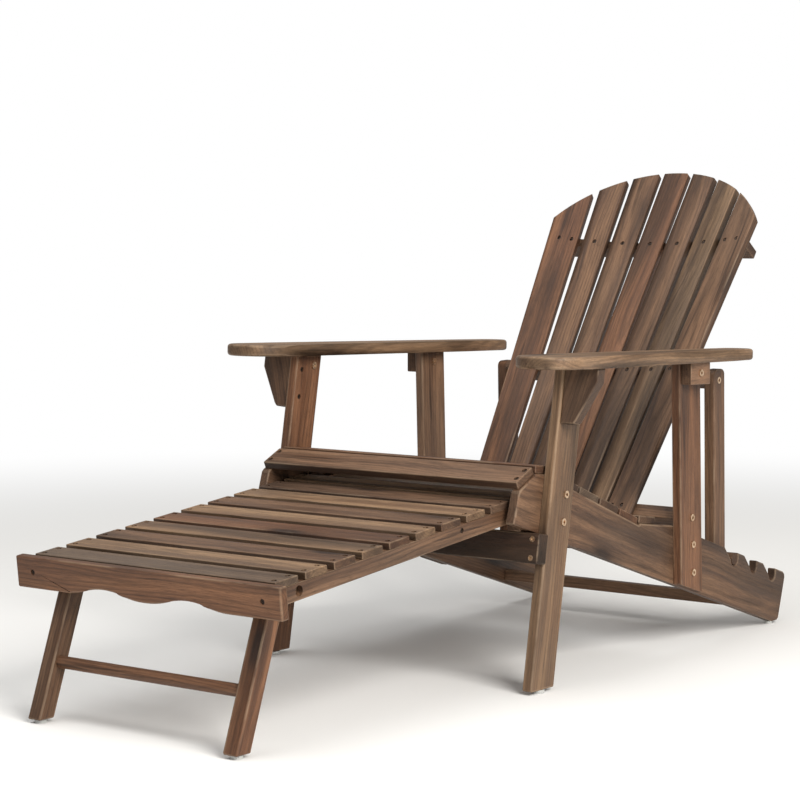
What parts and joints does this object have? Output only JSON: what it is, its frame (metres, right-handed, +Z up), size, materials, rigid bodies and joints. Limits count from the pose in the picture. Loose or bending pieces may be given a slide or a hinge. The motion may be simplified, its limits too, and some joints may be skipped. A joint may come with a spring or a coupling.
{
  "type": "reclining adirondack chair",
  "caption": "Slatted wooden reclining garden armchair with a fan back, wide arms, a notched rear prop and a long slatted footrest on folding legs.",
  "frame": {"origin": "on the floor, at the middle of the chair's footprint box", "axes": "+X toward the sitter's left, +Y toward the back of the chair, +Z up; the footrest points to -Y"},
  "size_m": [0.756, 1.6165, 0.8837],
  "materials": {
    "wood": "weathered brown oiled hardwood, lighter worn edges",
    "brass": "dulled copper-coloured brass",
    "dark_steel": "darkened steel wood screws",
    "clear_pad": "milky clear plastic foot pads"
  },
  "bodies": {
    "frame": {"seat_rail_l": "wood", "seat_rail_r": "wood", "front_leg_l": "wood", "front_leg_r": "wood", "rear_post_l": "wood", "rear_post_r": "wood", "arm_l": "wood", "arm_r": "wood", "arm_bracket_l": "wood", "arm_bracket_r": "wood", "arm_front_cleats": "wood", "arm_rear_cleats": "wood", "front_stretcher": "wood", "rear_stretcher": "wood", "footrest_rest_l": "wood", "footrest_rest_r": "wood", "seat_slat_1": "wood", "seat_slat_2": "wood", "seat_slat_3": "wood", "seat_slat_4": "wood", "seat_slat_5": "wood", "seat_slat_6": "wood", "seat_slat_7": "wood", "chair_foot_pads": "clear_pad", "frame_bolts": "brass", "frame_screws": "dark_steel"},
    "back": {"back_slat_1": "wood", "back_slat_2": "wood", "back_slat_3": "wood", "back_slat_4": "wood", "back_slat_5": "wood", "back_slat_6": "wood", "back_slat_7": "wood", "back_top_batten": "wood", "back_mid_batten": "wood", "back_low_batten": "wood", "back_screws": "dark_steel"},
    "prop": {"prop_leg_l": "wood", "prop_leg_r": "wood", "prop_rod": "wood", "prop_bolts": "brass"},
    "footrest": {"footrest_rail_l": "wood", "footrest_rail_r": "wood", "footrest_apron": "wood", "footrest_slat_1": "wood", "footrest_slat_2": "wood", "footrest_slat_3": "wood", "footrest_slat_4": "wood", "footrest_slat_5": "wood", "footrest_slat_6": "wood", "footrest_slat_7": "wood", "footrest_slat_8": "wood", "footrest_slat_9": "wood", "footrest_slat_10": "wood", "footrest_screws": "dark_steel", "footrest_leg_bolts": "brass"},
    "footrest_legs": {"footrest_leg_l": "wood", "footrest_leg_r": "wood", "footrest_leg_bar": "wood", "footrest_leg_pads": "clear_pad"}
  },
  "joints": [
    {"name": "back_hinge", "type": "hinge", "parent": "frame", "child": "back", "pos_m": [0, 0.35635, 0.24607], "axis": [1, 0, 0], "range_deg": [0, 30]},
    {"name": "prop_swing", "type": "hinge", "parent": "back", "child": "prop", "pos_m": [0, 0.53928, 0.48531], "axis": [1, 0, 0], "range_deg": [-9.5, 0]},
    {"name": "footrest_tilt", "type": "hinge", "parent": "frame", "child": "footrest", "pos_m": [0, -0.12957, 0.2876], "axis": [-1, 0, 0], "range_deg": [0, 23.5]},
    {"name": "footrest_leg_fold", "type": "hinge", "parent": "footrest", "child": "footrest_legs", "pos_m": [0, -0.70254, 0.24206], "axis": [1, 0, 0], "range_deg": [0, 110]}
  ],
  "couplings": [
    {"joint": "prop_swing", "follows": "back_hinge", "ratio": -0.3}
  ]
}
